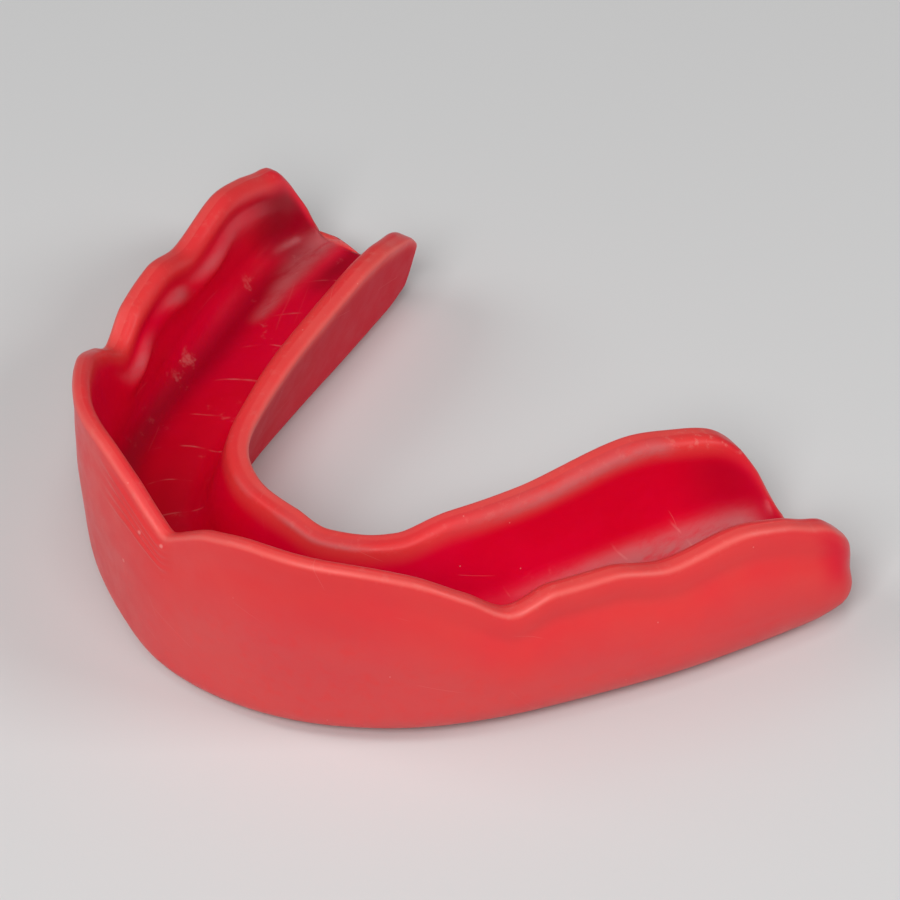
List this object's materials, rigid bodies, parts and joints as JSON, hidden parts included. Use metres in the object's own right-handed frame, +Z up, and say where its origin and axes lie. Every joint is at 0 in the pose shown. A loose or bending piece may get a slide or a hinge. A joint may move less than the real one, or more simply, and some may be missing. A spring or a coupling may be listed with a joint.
{
  "type": "mouthguard",
  "caption": "Moulded one-piece upper mouthguard: a horseshoe with an open tooth channel, a wavy lip and cheek flange with frenum notches and a lower palate flange.",
  "frame": {"origin": "bottom centre of the guard's box, on the flat biting face", "axes": "+Z up, out of the open tooth channel; -Y to the lips, +Y to the throat; the arms lie at +X and -X; the guard is the same either side of X = 0"},
  "size_m": [0.0636, 0.0424, 0.0166],
  "materials": {
    "moulding": "satin-gloss moulded EVA, one red colour throughout"
  },
  "bodies": {
    "root": {"mouthguard": "moulding"}
  },
  "joints": []
}
